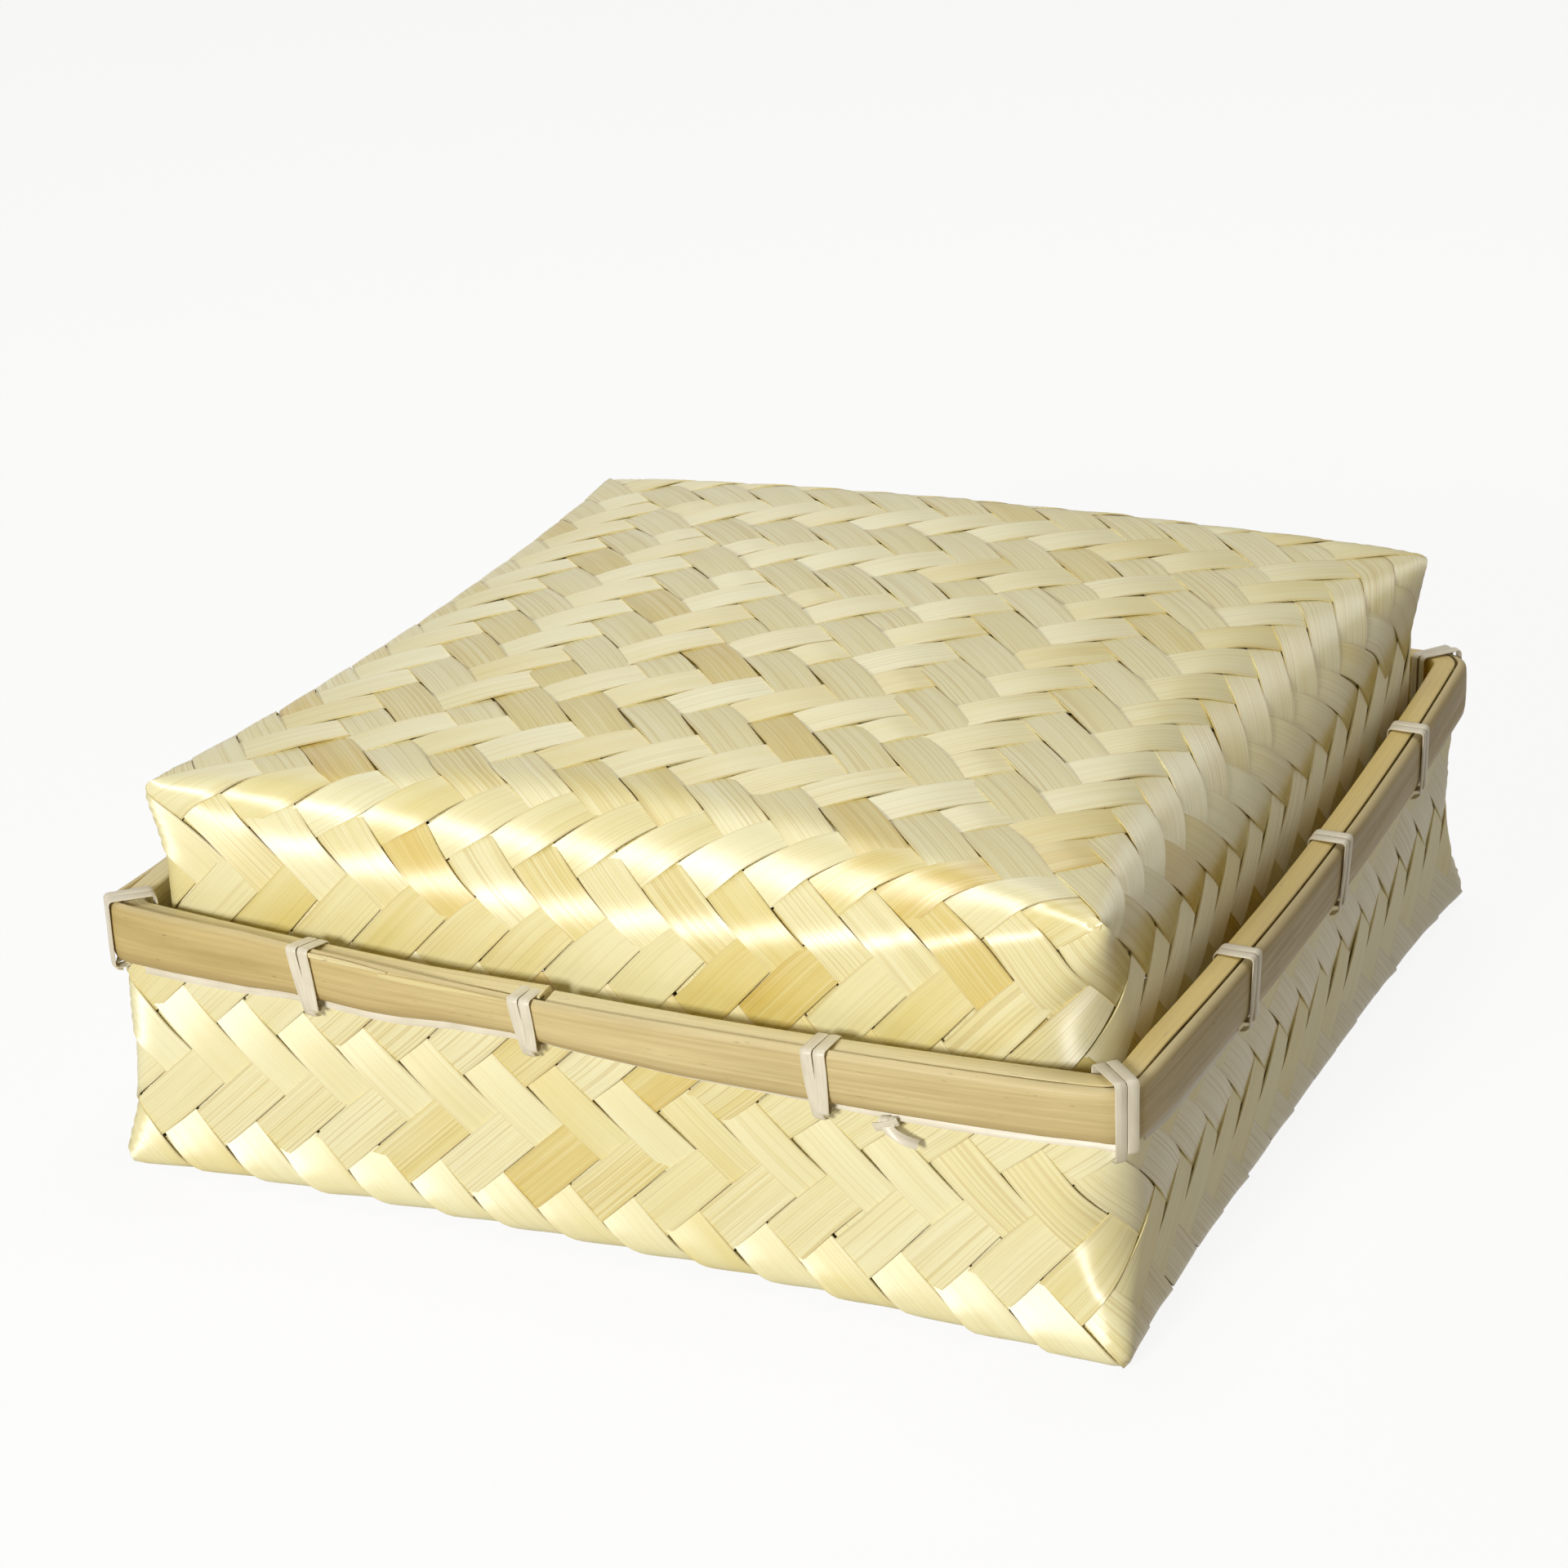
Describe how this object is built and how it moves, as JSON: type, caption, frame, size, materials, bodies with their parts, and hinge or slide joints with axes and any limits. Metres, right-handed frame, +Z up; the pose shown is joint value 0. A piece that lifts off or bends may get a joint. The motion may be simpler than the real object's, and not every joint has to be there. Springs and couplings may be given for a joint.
{
  "type": "woven lidded box",
  "caption": "Square plaited bamboo box: a tray with a lath rim lashed by flat ribbon, and a crowned plaited lid that nests inside the rim and lifts off.",
  "frame": {"origin": "middle of the underside, on the surface the box stands on", "axes": "+Z up, -Y out of the front face, +X to the right of the front face"},
  "size_m": [0.2586, 0.262, 0.1055],
  "materials": {
    "weave": "satin",
    "outer_lath": "satin",
    "inner_lath": "satin",
    "ribbon": "satin"
  },
  "bodies": {
    "tray": {"tray_weave": "weave", "rim_outer_lath": "outer_lath", "rim_inner_lath": "inner_lath", "lashing_front_corner": "ribbon", "lashing_front_1": "ribbon", "lashing_front_2": "ribbon", "lashing_front_3": "ribbon", "lashing_right_corner": "ribbon", "lashing_right_1": "ribbon", "lashing_right_2": "ribbon", "lashing_right_3": "ribbon", "lashing_back_corner": "ribbon", "lashing_back_1": "ribbon", "lashing_back_2": "ribbon", "lashing_back_3": "ribbon", "lashing_left_corner": "ribbon", "lashing_left_1": "ribbon", "lashing_left_2": "ribbon", "lashing_left_3": "ribbon", "ribbon_run_front_1": "ribbon", "ribbon_run_front_2": "ribbon", "ribbon_run_front_3": "ribbon", "ribbon_run_front_4": "ribbon", "ribbon_run_right_1": "ribbon", "ribbon_run_right_2": "ribbon", "ribbon_run_right_3": "ribbon", "ribbon_run_right_4": "ribbon", "ribbon_run_back_1": "ribbon", "ribbon_run_back_2": "ribbon", "ribbon_run_back_3": "ribbon", "ribbon_run_back_4": "ribbon", "ribbon_run_left_1": "ribbon", "ribbon_run_left_2": "ribbon", "ribbon_run_left_3": "ribbon", "ribbon_run_left_4": "ribbon", "ribbon_knot": "ribbon"},
    "lid": {"lid_weave": "weave"}
  },
  "joints": [
    {"name": "lid_lift", "type": "slide", "parent": "tray", "child": "lid", "axis": [0, 0, 1], "range_m": [0, 0.12]}
  ]
}
